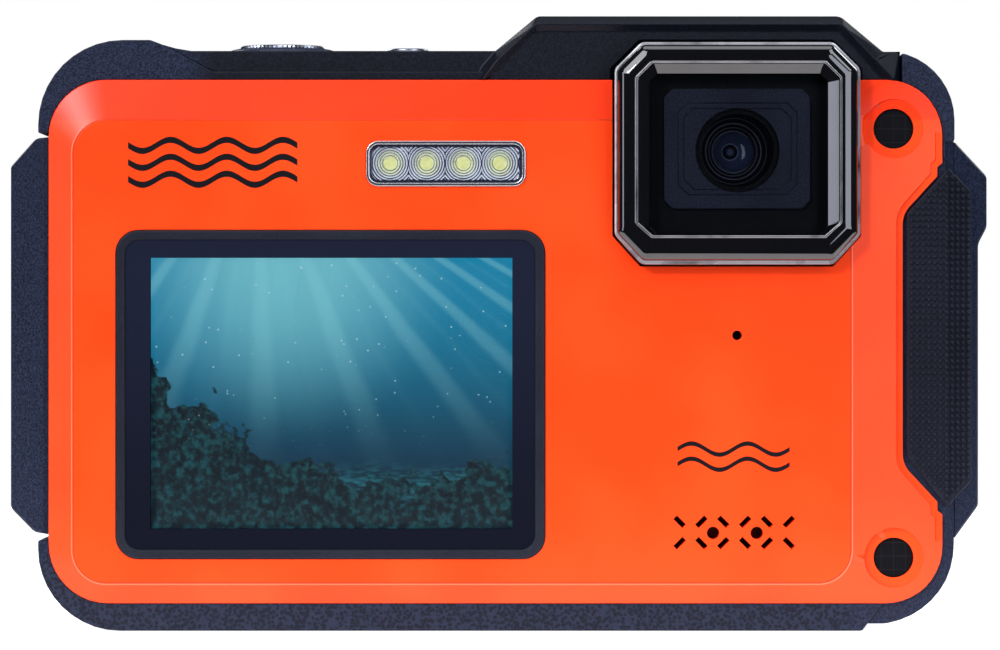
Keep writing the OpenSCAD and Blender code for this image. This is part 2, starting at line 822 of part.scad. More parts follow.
module door_seal_ring() {
    difference() {
        block([-51.15, -50.68], [opening_y[0] - 1.2, opening_y[1] + 1.1], [opening_z[0] - 1.2, opening_z[1] + 1.2]);
        block([-52, -50], [opening_y[0] - 0.2, opening_y[1] + 0.2], [opening_z[0] - 0.2, opening_z[1] + 0.2]);
    }
}

module door_seal() {
    color("dimgray") door_seal_ring();
}

module door_latch() {
    color([0.3, 0.3, 0.34]) union() {
        difference() {
            block([door_left + 0.05, -53.3], [latch_y - 3.1, latch_y + 3.1], [latch_z, latch_z + 8]);
            for (i = [0:4]) block([-60, -54.2], [-10, 10], [latch_z + 1 + 1.35 * i, latch_z + 1.6 + 1.35 * i]);
        }
        block([-53.5, -47.95], [slot_y[0] + 0.2, slot_y[1] - 0.2], [latch_z + 5, latch_z + 7]);
        block([-48.75, -47.95], [-5.6, -3], [latch_z + 5, latch_z + 11.9]);
    }
}

// The stepped collar round the shutter button, and the plain ring round the power button
module button_rings() {
    color(navy) difference() {
        union() {
            rod_z(shutter_x, button_y, shutter_ring_r, deck_z, deck_z + 0.4 * collar_h);
            rod_z(shutter_x, button_y, shutter_ring_r - 0.35, deck_z, deck_z + 0.75 * collar_h);
            rod_z(shutter_x, button_y, shutter_ring_r - 0.8, deck_z, deck_z + collar_h);
            rod_z(power_x, button_y, power_ring_r, deck_z, deck_z + power_ring_h);
        }
        rod_z(shutter_x, button_y, shutter_r + key_gap, 60, 70);
        rod_z(power_x, button_y, power_r + key_gap, 60, 70);
    }
}

// A sprung button: its cap, the flange under the deck that stops it, and the stem to its switch
module push_button(x, r, stem_r, top) {
    flange = [62.1, 62.75];
    rod_z(x, button_y, r, flange[0], top);
    rod_z(x, button_y, r + 0.6, flange[0], flange[1]);
    rod_z(x, button_y, stem_r, switch_top + 0.2 + shutter_travel, flange[0]);
}

module shutter_button() {
    color(silver) push_button(shutter_x, shutter_r, 1.2, 66.25);
}

module power_button() {
    color(silver) push_button(power_x, power_r, 0.9, 65.95);
}

module button_board() {
    color([0.1, 0.3, 0.18]) union() {
        block([-32, -5], [-3, 5.5], [55.4, 56.2]);
        for (x = [shutter_x, power_x]) rod_z(x, button_y, 1.5, 56.2, switch_top);
    }
}

module zoom_rocker() {
    color([0.2, 0.2, 0.24]) union() {
        plate(rounded(keys_x - 7.5, keys_x + 7.5, rocker_z - 2.5, rocker_z + 2.5, 1.4), case_back - 0.35, case_back + 0.9);
        block([keys_x - 1.3, keys_x + 1.3], [rear_wall_in + 0.2, case_back], [rocker_z - 1.2, rocker_z + 1.2]);
        rod_z(keys_x, rocker_y, 0.5, rocker_z - 1.5, rocker_z + 1.5);
    }
}

module round_key(p, r) {
    rod_y(p[0], p[1], r, 9.5, case_back + key_proud);
    rod_y(p[0], p[1], r + 0.45, 9.4, rear_wall_in - 0.15);
}

module menu_key() {
    color([0.2, 0.2, 0.24]) round_key(small_keys[0], key_r);
}

module play_key() {
    color([0.2, 0.2, 0.24]) round_key(small_keys[1], key_r);
}

module screen_key() {
    color([0.2, 0.2, 0.24]) round_key(small_keys[2], key_r);
}

module ok_key() {
    color([0.2, 0.2, 0.24]) round_key([keys_x, keys_z], ok_r);
}

module arrow_key(turn) {
    color([0.2, 0.2, 0.24]) at_arrow(turn) union() {
        arrow_sector(0, 9.5, case_back + key_proud);
        arrow_sector(0.3, 9.4, rear_wall_in - 0.15);
    }
}

module arrow_up() {
    arrow_key(270);
}

module arrow_down() {
    arrow_key(90);
}

module arrow_left() {
    arrow_key(180);
}

module arrow_right() {
    arrow_key(0);
}

module status_lamp() {
    color([0.3, 0.8, 0.4]) rod_y(keys_x, lamp_z, lamp_r, rear_wall_in, case_back + 0.1);
}

front_housing();
main_housing();
front_cover();
top_cover();
left_bumper();
right_bumper();
base_foot();
grip_plate();
grip_pad();
lens_bezel();
lens_window();
lens_mask();
lens_shroud();
lens_barrel();
front_lens();
lens_case();
lens_prism();
lens_group();
image_sensor();
light_rim();
light_lens();
light_reflector();
light_leds();
light_board();
front_screen_frame();
front_screen_glass();
front_screen_panel();
corner_caps();
speaker();
microphone();
rear_screen_glass();
rear_screen_panel();
main_board();
board_parts();
battery();
battery_tray();
battery_contacts();
card_slot();
usb_port();
case_seal();
case_screws();
tripod_insert();
hinge_pin();
battery_door();
door_seal();
door_latch();
button_rings();
button_board();
shutter_button();
power_button();
zoom_rocker();
menu_key();
play_key();
screen_key();
ok_key();
arrow_up();
arrow_down();
arrow_left();
arrow_right();
status_lamp();
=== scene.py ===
"""The looks of a rugged waterproof action camera with a front screen, built round its CAD frame.

Lengths are in metres. X runs along the camera, Z is up and the lens looks along -Y.
"""
import json
import math

import bpy
from mathutils import Matrix, Vector
from mathutils.bvhtree import BVHTree


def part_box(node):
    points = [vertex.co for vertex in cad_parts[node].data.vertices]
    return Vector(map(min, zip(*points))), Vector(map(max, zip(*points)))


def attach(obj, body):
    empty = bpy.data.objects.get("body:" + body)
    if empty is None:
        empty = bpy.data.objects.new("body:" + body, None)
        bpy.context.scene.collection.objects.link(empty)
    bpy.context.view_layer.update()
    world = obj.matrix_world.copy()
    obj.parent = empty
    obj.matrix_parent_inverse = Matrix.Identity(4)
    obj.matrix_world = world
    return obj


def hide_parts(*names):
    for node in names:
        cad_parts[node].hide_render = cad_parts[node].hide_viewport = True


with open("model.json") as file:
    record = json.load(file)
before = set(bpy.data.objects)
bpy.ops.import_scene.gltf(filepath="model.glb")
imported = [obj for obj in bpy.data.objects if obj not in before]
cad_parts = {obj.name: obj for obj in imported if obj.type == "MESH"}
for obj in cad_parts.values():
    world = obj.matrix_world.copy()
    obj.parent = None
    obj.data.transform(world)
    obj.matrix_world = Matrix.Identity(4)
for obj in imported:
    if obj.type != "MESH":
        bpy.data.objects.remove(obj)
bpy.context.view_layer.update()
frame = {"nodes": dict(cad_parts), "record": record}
MM = 0.001


# ---------------------------------------------------------------- finishes

def tone(r, g, b):
    """A display colour, 0 to 255, as the linear RGBA that a shader takes."""
    linear = [(v / 255 / 12.92) if v <= 10 else ((v / 255 + 0.055) / 1.055) ** 2.4 for v in (r, g, b)]
    return (*linear, 1.0)


class Field:
    """A number that varies over a surface. Arithmetic on it adds the Math nodes it stands for."""

    def __init__(self, paint, socket):
        self.paint = paint
        self.socket = socket

    def math(self, operation, *values):
        return self.paint.node("ShaderNodeMath", {"operation": operation}, dict(enumerate(values)))

    def __add__(self, other):
        return self.math("ADD", self, other)

    def __radd__(self, other):
        return self.math("ADD", other, self)

    def __sub__(self, other):
        return self.math("SUBTRACT", self, other)

    def __rsub__(self, other):
        return self.math("SUBTRACT", other, self)

    def __mul__(self, other):
        return self.math("MULTIPLY", self, other)

    def __rmul__(self, other):
        return self.math("MULTIPLY", other, self)

    def __truediv__(self, other):
        return self.math("DIVIDE", self, other)

    def __rtruediv__(self, other):
        return self.math("DIVIDE", other, self)

    def __pow__(self, other):
        return self.math("POWER", self, other)

    def __gt__(self, other):
        return self.math("GREATER_THAN", self, other)

    def __lt__(self, other):
        return self.math("LESS_THAN", self, other)

    def __mod__(self, other):
        return self.math("FLOORED_MODULO", self, other)

    def __neg__(self):
        return self.math("SUBTRACT", 0.0, self)

    def __abs__(self):
        return self.math("ABSOLUTE", self)

    def most(self, other):
        return self.math("MAXIMUM", self, other)

    def least(self, other):
        return self.math("MINIMUM", self, other)

    def wave(self):
        return self.math("SINE", self)

    def root(self):
        return self.math("SQRT", self)

    def ramp(self, low, high):
        """0 below low, 1 above high and smooth between them; low may be the larger, and then it falls."""
        settings = {"interpolation_type": "SMOOTHSTEP"}
        if low > high:
            return 1.0 - self.paint.node("ShaderNodeMapRange", settings, {0: self, 1: high, 2: low})
        return self.paint.node("ShaderNodeMapRange", settings, {0: self, 1: low, 2: high})


class Paint:
    """A finish: one Principled shader and the nodes that vary it over the surface."""

    def __init__(self, name, color, roughness, **fixed):
        self.material = bpy.data.materials.new(name)
        self.material.use_nodes = True
        self.tree = self.material.node_tree
        self.tree.nodes.clear()
        self.output = self.tree.nodes.new("ShaderNodeOutputMaterial")
        self.shader = self.tree.nodes.new("ShaderNodeBsdfPrincipled")
        self.tree.links.new(self.shader.outputs[0], self.output.inputs[0])
        self.put("Base Color", color)
        self.put("Roughness", roughness)
        for socket, value in fixed.items():
            self.put(socket.replace("_", " "), value)

    def join(self, value, socket):
        if isinstance(value, Field):
            self.tree.links.new(value.socket, socket)
        else:
            socket.default_value = value

    def put(self, socket, value):
        self.join(value, self.shader.inputs[socket])
        return self

    def node(self, kind, settings=None, inputs=None, output=0):
        made = self.tree.nodes.new(kind)
        for name, value in (settings or {}).items():
            setattr(made, name, value)
        for socket, value in (inputs or {}).items():
            self.join(value, made.inputs[socket])
        return Field(self, made.outputs[output])

    def spot(self):
        """The place on the piece in millimetres, as one vector."""
        place = self.node("ShaderNodeTexCoord", output="Object")
        return self.node("ShaderNodeVectorMath", {"operation": "SCALE"}, {0: place, "Scale": 1000.0})

    def axes(self):
        """The place on the piece in millimetres, as x, y and z."""
        place = self.spot()
        return [self.node("ShaderNodeSeparateXYZ", inputs={0: place}, output=i) for i in range(3)]

    def noise(self, per_mm, detail=3.0, stretch=None):
        place = self.spot()
        if stretch:
            place = self.node("ShaderNodeVectorMath", {"operation": "MULTIPLY"}, {0: place, 1: stretch})
        return self.node("ShaderNodeTexNoise", inputs={"Vector": place, "Scale": per_mm, "Detail": detail})

    def cells(self, per_mm, randomness=1.0):
        settings = {"feature": "F1"}
        inputs = {"Vector": self.spot(), "Scale": per_mm, "Randomness": randomness}
        return self.node("ShaderNodeTexVoronoi", settings, inputs, "Distance")

    def mix(self, factor, low, high):
        """The colour low where factor is 0 and high where it is 1."""
        settings = {"data_type": "RGBA"}
        return self.node("ShaderNodeMix", settings, {0: factor, 6: low, 7: high}, 2)

    def relief(self, height, depth_mm, strength=1.0):
        inputs = {"Strength": strength, "Distance": depth_mm * MM, "Height": height}
        self.put("Normal", self.node("ShaderNodeBump", inputs=inputs))
        return self


def see_through(paint, opaque):
    """Lets the surface show what is behind it, except where opaque is 1."""
    clear = paint.node("ShaderNodeBsdfTransparent", inputs={"Color": (0.93, 0.95, 0.97, 1.0)})
    shine = paint.node("ShaderNodeFresnel", inputs={"IOR": 1.5})
    solid = Field(paint, paint.shader.outputs[0])
    mixed = paint.node("ShaderNodeMixShader", inputs={0: shine.most(opaque), 1: clear, 2: solid})
    paint.tree.links.new(mixed.socket, paint.output.inputs[0])


def moulded(name, dark, light, roughness, per_mm, depth, **fixed):
    """Moulded plastic or rubber with a fine spark-eroded grain."""
    paint = Paint(name, dark, roughness, **fixed)
    grain = paint.noise(per_mm, 4.0)
    broad = paint.noise(0.09, 2.0)
    paint.put("Base Color", paint.mix((grain * 0.7 + broad * 0.3).ramp(0.35, 0.68), dark, light))
    paint.put("Roughness", roughness + (grain - 0.5) * 0.18)
    paint.relief(grain, depth)
    return paint.material


def metal(name, color, roughness, per_mm=3.0, stretch=(1.0, 1.0, 1.0)):
    """Metal with the fine streaks of brushing or turning."""
    paint = Paint(name, color, roughness, Metallic=1.0)
    streak = paint.noise(per_mm, 3.0, stretch)
    paint.put("Roughness", roughness + (streak - 0.5) * 0.16)
    shade = tuple(v * 0.86 for v in color[:3]) + (1.0,)
    paint.put("Base Color", paint.mix(streak, shade, color))
    paint.relief(streak, 0.004)
    return paint.material


def navy_finish():
    """The navy of the shell, grained all over, with painted shade on top."""
    dark, light = tone(14, 18, 33), tone(39, 46, 68)
    paint = Paint("navy_shell", dark, 0.45, Specular_IOR_Level=0.15)
    x, _, z = paint.axes()
    fine, coarse = paint.noise(4.6, 4.0), paint.cells(2.6)
    # The foot and the lower left corner have a coarser grain than the rest.
    low = z.ramp(9.5, 6.5) * x.ramp(40.0, 38.0)
    grain = fine * (1.0 - low) + coarse * low
    # Painted shade: the button deck and the hump face up, away from the frontal light, and are painted darker
    # than the rim.
    deck = z.ramp(60.3, 61.2) * x.ramp(-36.0, -31.5) * x.ramp(45.4, 45.0)
    shade = paint.mix(grain.ramp(0.3, 0.75), dark, light)
    shade = paint.mix(low * 0.4, shade, tone(14, 16, 25))
    paint.put("Base Color", paint.mix(deck * 0.8, shade, tone(6, 7, 12)))
    paint.put("Roughness", 0.43 + (fine - 0.5) * 0.2 + low * 0.06)
    paint.relief(grain * (0.5 + low), 0.02)
    return paint.material


def wave_lines(x, z, centre, width, lines, pitch, half_thick):
    """1 on a stack of wavy lines about a centre, 0 elsewhere."""
    swell = ((x - centre[0]) * (2 * math.pi / 6.3)).wave() * 0.62
    height = z - centre[1] - swell
    span = (abs(x - centre[0]) - width / 2).ramp(0.05, -0.05)
    mask = None
    for i in range(lines):
        line = (abs(height - (i - (lines - 1) / 2) * pitch) - half_thick).ramp(0.03, -0.03)
        mask = line if mask is None else mask.most(line)
    return mask * span


def orange_finish():
    """Satin orange plastic with two printed marks, a painted shade line and a painted highlight along the
    crease round its raised panel, and painted shade on the border above it.
    """
    deep, bright = tone(250, 61, 9), tone(253, 70, 19)
    panel_middle, panel_half, panel_r = (-4.15, 31.4), (43.65, 26.0), 3.7
    panel_front, panel_top = -11.5, 57.35
    paint = Paint("orange_cover", bright, 0.34, Specular_IOR_Level=0.26)
    grain, cloud = paint.noise(9.0, 3.0), paint.noise(0.07, 2.0)
    color = paint.mix((grain * 0.35 + cloud * 0.65).ramp(0.4, 0.62), deep, bright)
    x, y, z = paint.axes()
    # A printed mark of three waves, and a small one of two.
    print_mask = wave_lines(x, z, (-32.1, 52.6), 19.0, 3, 1.9, 0.36)
    print_mask = print_mask.most(wave_lines(x, z, (26.3, 19.6), 12.6, 2, 1.7, 0.26))
    # Painted shade and highlight at the crease round the raised panel: a dark shade line, with a painted
    # highlight outside it below the top.
    across = abs(x - panel_middle[0]) - panel_half[0] + panel_r
    up = abs(z - panel_middle[1]) - panel_half[1] + panel_r
    away = (across.most(0.0) ** 2.0 + up.most(0.0) ** 2.0).root() + across.most(up).least(0.0) - panel_r
    front = (y < panel_front)
    # Painted shade: the border above the panel leans back and reflects no light, so it is painted a little
    # redder and darker.
    color = paint.mix(z.ramp(panel_top, panel_top + 0.15) * 0.6, color, tone(246, 42, 0))
    crease_shade_line = (abs(away + 0.04) - 0.05).ramp(0.07, 0.0) * front
    crease_highlight_line = (abs(away - 0.12) - 0.04).ramp(0.07, 0.0) * z.ramp(57.2, 55.0) * front
    color = paint.mix(crease_shade_line * 0.55, color, tone(176, 26, 0))
    color = paint.mix(crease_highlight_line * 0.5, color, tone(255, 140, 104))
    paint.put("Base Color", paint.mix(print_mask * front, color, tone(14, 12, 16)))
    paint.put("Roughness", 0.31 + (grain - 0.5) * 0.1)
    paint.relief(grain, 0.003)
    return paint.material


def glossy_black(name, color, roughness):
    """A polished dark plastic with a clear coat."""
    paint = Paint(name, color, roughness, Coat_Roughness=0.02)
    smear = paint.noise(0.25, 3.0)
    paint.put("Roughness", roughness + (smear - 0.5) * 0.05)
    paint.put("Coat Weight", 0.5 + smear * 0.5)
    paint.relief(paint.noise(0.12, 1.0), 0.01, 0.3)
    return paint.material


def clear_finish(name):
    """A thin clear window."""
    paint = Paint(name, (0.003, 0.003, 0.005, 1.0), 0.03)
    film = paint.noise(0.3, 3.0)
    paint.put("Roughness", 0.02 + film * 0.03)
    see_through(paint, 0.0)
    return paint.material


def screen_glass_finish(name, centre, size, border_low, border_high):
    """Cover glass whose printed border hides all but the picture, the border painted lighter towards the top
    as painted shading.
    """
    paint = Paint(name, border_high, 0.05)
    x, _, z = paint.axes()
    side = abs(x - centre[0]) - size[0] / 2
    end = abs(z - centre[1]) - size[1] / 2
    outside = side.most(end).ramp(-0.02, 0.02)
    # Painted shading: the printed border is darker at the bottom and lighter at the top.
    border_painted_shading = z.ramp(centre[1] - size[1] / 2, centre[1] + size[1] / 2)
    paint.put("Base Color", paint.mix(border_painted_shading, border_low, border_high))
    see_through(paint, outside)
    return paint.material


def underwater_finish(name, centre, size, strength):
    """A picture on a screen: open water with slanting light, a sandy bed and dark reef on both sides."""
    paint = Paint(name, (0.0, 0.0, 0.0, 1.0), 0.4)
    x, _, z = paint.axes()
    u = (x - centre[0]) / size[0]
    v = (z - centre[1]) / size[1] + 0.5
    drift = paint.noise(0.12, 4.0)
    water = paint.mix(v.ramp(0.1, 1.0), tone(2, 40, 62), tone(20, 132, 168))
    lit = ((u + 0.12) ** 2.0 * 2.2 + (v - 1.05) ** 2.0).root().ramp(0.75, 0.1)
    water = paint.mix(lit * 0.85, water, tone(120, 196, 206))
    # Shafts of light fan out from above the picture.
    fan = (u + 0.2) / (1.45 - v)
    shafts = (fan * 46.0 + drift * 2.4).wave() * 0.5 + (fan * 23.0 + 1.3).wave() * 0.5
    glow = shafts.ramp(-0.3, 1.0) * v.ramp(0.15, 1.0)
    water = paint.mix(glow * 0.26, water, tone(140, 214, 222))
    bed_line = 0.2 + (u * 5.0 + 0.6).wave() * 0.02 + (drift - 0.5) * 0.12
    ripple = paint.noise(0.9, 4.0, (1.0, 1.0, 3.2))
    sand = paint.mix(ripple.ramp(0.38, 0.64), tone(4, 44, 58), tone(30, 98, 110))
    picture = paint.mix((bed_line - v).ramp(-0.04, 0.05), water, sand)
    crag = paint.noise(0.34, 7.0)
    reef_line = 0.2 - u * 0.36 + abs(u) ** 2.0 * 0.9 + (crag - 0.5) * 0.46
    coral = paint.noise(1.5, 6.0)
    reef = paint.mix(coral.ramp(0.4, 0.72), tone(2, 18, 28), tone(18, 74, 80))
    picture = paint.mix((reef_line - v).ramp(-0.008, 0.012), picture, reef)
    bubble = paint.cells(0.9)
    fleck = (bubble < 0.09) * v.ramp(0.25, 0.6) * 0.5
    picture = paint.mix(fleck, picture, tone(210, 244, 246))
    paint.put("Emission Color", picture)
    paint.put("Emission Strength", strength)
    return paint.material


# ---------------------------------------------------------------- shaping

record = frame["record"]


def alone(piece, mode="OBJECT"):
    """Makes a piece the only one selected, and the active one."""
    bpy.ops.object.select_all(action="DESELECT")
    piece.select_set(True)
    bpy.context.view_layer.objects.active = piece
    bpy.ops.object.mode_set(mode=mode)


def choose(piece, kind, test):
    """Enters edit mode with only the vertices, edges or faces that pass the test selected."""
    alone(piece, "EDIT")
    bpy.ops.mesh.select_mode(type=kind)
    bpy.ops.mesh.select_all(action="DESELECT")
    bpy.ops.object.mode_set(mode="OBJECT")
    mesh = piece.data
    items = {"VERT": mesh.vertices, "EDGE": mesh.edges, "FACE": mesh.polygons}[kind]
    for item in items:
        item.select = bool(test(item))
    bpy.ops.object.mode_set(mode="EDIT")


def done():
    bpy.ops.object.mode_set(mode="OBJECT")


def settle(piece):
    """Merges doubles and turns every face outward."""
    alone(piece, "EDIT")
    bpy.ops.mesh.select_all(action="SELECT")
    bpy.ops.mesh.remove_doubles(threshold=1e-7)
    bpy.ops.mesh.normals_make_consistent(inside=False)
    done()


def ease(piece, width, segments=2, angle=28.0):
    """Rounds every edge sharper than the angle, by a width in millimetres."""
    alone(piece)
    bevel = piece.modifiers.new("ease", "BEVEL")
    bevel.width = width * MM
    bevel.segments = segments
    bevel.limit_method = "ANGLE"
    bevel.angle_limit = math.radians(angle)
    bevel.use_clamp_overlap = False
    bevel.miter_outer = "MITER_ARC"
    bpy.ops.object.modifier_apply(modifier=bevel.name)
    return piece


def in_any(point, boxes):
    """True if a point in metres lies in any of the boxes, each given by two far corners in millimetres."""
    return any(all(a < v / MM < b for a, v, b in zip(low, point, high)) for low, high in boxes)


def ease_around(piece, width, segments, angle, plain):
    """Rounds the sharp edges, except inside the plain boxes."""
    sides = {}
    for face in piece.data.polygons:
        for key in face.edge_keys:
            sides.setdefault(key, []).append(face.normal.copy())
    co = [v.co.copy() for v in piece.data.vertices]

    def is_free(edge):
        pair = sides.get(tuple(sorted(edge.vertices)), [])
        middle = (co[edge.vertices[0]] + co[edge.vertices[1]]) / 2
        if in_any(middle, plain):
            return False
        return len(pair) == 2 and pair[0].angle(pair[1], 0.0) > math.radians(angle)

    choose(piece, "EDGE", is_free)
    bpy.ops.mesh.bevel(offset=width * MM, segments=segments, clamp_overlap=False, miter_outer="ARC")
    done()
    return piece


def smooth(piece, angle=32.0):
    """Shades curves as curves and keeps the flat faces flat."""
    alone(piece)
    bpy.ops.object.shade_smooth_by_angle(angle=math.radians(angle))
    level = piece.modifiers.new("level", "WEIGHTED_NORMAL")
    level.keep_sharp = True
    level.weight = 100
    bpy.ops.object.modifier_apply(modifier=level.name)
    return piece


def dress(piece, material, body="case", stands_for=()):
    """Gives a piece its finish and fastens it to its CAD body."""
    piece.data.materials.clear()
    piece.data.materials.append(material)
    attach(piece, body)
    if stands_for:
        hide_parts(*stands_for)
    return piece


def eased_copy(node, width, segments=2, plain=(), kept=(), angle=28.0):
    """A copy of a CAD part, its flat faces made whole and its edges rounded.

    Inside the plain boxes the edges stay sharp, and inside the kept boxes the faces stay as they are.
    """
    source = frame["nodes"][node]
    piece = bpy.data.objects.new(node + "_eased", source.data.copy())
    bpy.context.scene.collection.objects.link(piece)
    alone(piece, "EDIT")
    bpy.ops.mesh.select_all(action="SELECT")
    bpy.ops.mesh.remove_doubles(threshold=2e-6)
    done()
    choose(piece, "FACE", lambda face: not in_any(face.center, kept))
    bpy.ops.mesh.dissolve_limited(angle_limit=math.radians(0.6))
    done()
    surface = BVHTree.FromPolygons([v.co.copy() for v in piece.data.vertices],
                                   [tuple(f.vertices) for f in piece.data.polygons])
    if plain:
        ease_around(piece, width, segments, angle, plain)
    else:
        ease(piece, width, segments, angle)
    # Where small edges crowd a corner, the rounding is pulled back onto the part.
    for vertex in piece.data.vertices:
        near, _, _, distance = surface.find_nearest(vertex.co)
        if distance > 0.35 * width * MM:
            vertex.co = near
    return smooth(piece)


def corner(a, b, c, r, steps):
    """Points of the arc that rounds corner b between its neighbours a and c."""
    u, w = (a - b).normalized(), (c - b).normalized()
    half = math.acos(u.dot(w)) / 2
    centre = b + (u + w).normalized() * r / math.sin(half)
    start, end = b + u * r / math.tan(half) - centre, b + w * r / math.tan(half) - centre
    turn = math.pi - 2 * half
    arc = []
    for i in range(steps + 1):
        t = i / steps
        arc.append(centre + (start * math.sin(turn * (1 - t)) + end * math.sin(turn * t)) / math.sin(turn))
    return arc


def outline(corners, steps=6):
    """Corners given as (x, z, radius) in millimetres, as a list of points with the corners rounded."""
    points = []
    flat = [Vector(c[:2]) for c in corners]
    for i, (point, full) in enumerate(zip(flat, corners)):
        if full[2] == 0:
            points.append(point)
        else:
            points += corner(flat[i - 1], point, flat[(i + 1) % len(flat)], full[2], steps)
    return points


def rounded(x0, x1, z0, z1, r):
    return [(x0, z0, r), (x1, z0, r), (x1, z1, r), (x0, z1, r)]


def octagon(x0, x1, z0, z1, cut, low_cut):
    return [
        (x0 + cut, z0, 0), (x1 - cut, z0, 0), (x1, z0 + low_cut, 0), (x1, z1 - cut, 0),
        (x1 - cut, z1, 0), (x0 + cut, z1, 0), (x0, z1 - cut, 0), (x0, z0 + low_cut, 0),
    ]


def at_depth(points, y):
    """A flat outline seen from the front, as a ring of 3-D points at one depth in millimetres."""
    return [Vector((p[0], y, p[1])) * MM for p in points]


def circle(x, z, r, y, sides=64):
    turns = [2 * math.pi * (i + 0.5) / sides for i in range(sides)]
    return at_depth([(x + r * math.cos(t), z + r * math.sin(t)) for t in turns], y)


def flat_ring(x, y, r, z, sides=64):
    """A level circle, for pieces that stand on the top deck."""
    turns = [2 * math.pi * (i + 0.5) / sides for i in range(sides)]
    return [Vector((x + r * math.cos(t), y + r * math.sin(t), z)) * MM for t in turns]


def key_of(point):
    return tuple(round(v * 1e7) for v in point)


def loft(name, rings, hollow=False):
    """A face extruded from ring to ring. A hollow one comes back to its start, as a frame does."""
    bpy.ops.object.select_all(action="DESELECT")
    bpy.ops.mesh.primitive_circle_add(vertices=len(rings[0]), radius=0.01, fill_type="NGON")
    piece = bpy.context.object
    piece.name = piece.data.name = name
    for vertex, point in zip(piece.data.vertices, rings[0]):
        vertex.co = point
    choose(piece, "FACE", lambda face: True)
    for before, after in zip(rings, rings[1:]):
        bpy.ops.mesh.extrude_region_move()
        done()
        target = {key_of(a): b for a, b in zip(before, after)}
        for vertex in piece.data.vertices:
            if vertex.select:
                vertex.co = target[key_of(vertex.co)]
        bpy.ops.object.mode_set(mode="EDIT")
    done()
    if hollow:
        caps = [{key_of(p) for p in rings[0]}, {key_of(p) for p in rings[-1]}]
        co = piece.data.vertices
        is_cap = lambda face: {key_of(co[i].co) for i in face.vertices} in caps
        choose(piece, "FACE", is_cap)
        bpy.ops.mesh.delete(type="ONLY_FACE")
        bpy.ops.mesh.select_mode(type="EDGE")
        bpy.ops.mesh.select_non_manifold()
        bpy.ops.mesh.bridge_edge_loops()
        done()
    settle(piece)
    return piece


def blend_rings(low, high, steps):
    """Rings between two outlines with as many points, each step a (share, depth) pair."""
    return [at_depth([a.lerp(b, share) for a, b in zip(low, high)], y) for share, y in steps]


def copies(piece, places, name):
    """One mesh that repeats a small shape at each place, and then the first shape goes."""
    made = []
    for place in places:
        other = bpy.data.objects.new(name, piece.data.copy())
        other.data.transform(Matrix.Translation(Vector(place) * MM))
        bpy.context.scene.collection.objects.link(other)
        made.append(other)
    bpy.data.objects.remove(piece)
    return join(made, name)


def join(pieces, name):
    bpy.ops.object.select_all(action="DESELECT")
    for piece in pieces:
        piece.select_set(True)
    bpy.context.view_layer.objects.active = pieces[0]
    bpy.ops.object.join()
    pieces[0].name = pieces[0].data.name = name
    return pieces[0]


# ---------------------------------------------------------------- materials by slot

# The middle and the size of each picture, the lens axis and the lights, in millimetres.
FRONT_PICTURE = ((-18.8, 26.7), (40.6, 30.4))
REAR_PICTURE = ((10.1, 30.6), (57.6, 43.2))
LENS = (26.7, 53.9)
LIGHTS = (-12.2, -8.1, -4.0, 0.1)
LIGHT_PITCH = 4.1
LIGHT_Z = 52.5
RING_PITCH = 0.29
LED_VIEW_R = 0.73


def bezel_finish():
    """Piano black with a bright silvery line along the outer rim and two along the ridge, partly cut edges
    and partly painted highlights.
    """
    black, bright = (0.002, 0.002, 0.003, 1.0), (0.34, 0.33, 0.35, 1.0)
    paint = Paint("gloss_bezel", black, 0.05, Coat_Roughness=0.02)
    _, y, _ = paint.axes()
    smear = paint.noise(0.25, 3.0)
    # Painted highlights along the rim and the ridge, with a half-metallic silvery finish as on cut edges.
    rim = y.ramp(-14.205, -14.19) * y.ramp(-14.0, -14.06)
    line = rim.most(y.ramp(-15.465, -15.48) * 0.75) * paint.noise(0.3, 2.0).ramp(0.2, 0.6)
    paint.put("Base Color", paint.mix(line, black, bright))
    paint.put("Metallic", line * 0.5)
    paint.put("Roughness", 0.03 + smear * 0.04 + line * 0.25)
    paint.put("Coat Weight", 0.6 + smear * 0.4)
    paint.relief(paint.noise(0.12, 1.0), 0.01, 0.3)
    return paint.material


def cap_finish():
    """Soft black plugs, cut across by a fine grid of grooves."""
    grid_x, pitch_x, grid_z, pitch_z = 44.3, 1.35, 56.4, 1.5
    plug_front = -10.4
    paint = Paint("cap_black", tone(8, 8, 12), 0.5, Specular_IOR_Level=0.08)
    x, y, z = paint.axes()
    grain = paint.noise(5.0, 3.0)
    lines = (abs((x - grid_x) % pitch_x - 0.68) - 0.61).ramp(0.0, 0.05)
    lines = lines.most((abs((z - grid_z) % pitch_z - 0.75) - 0.68).ramp(0.0, 0.05))
    shade = paint.mix(grain, tone(3, 3, 6), tone(10, 11, 16))
    paint.put("Base Color", paint.mix(lines * (y < plug_front) * 0.6, shade, tone(30, 30, 36)))
    paint.relief(grain - lines, 0.03)
    return paint.material


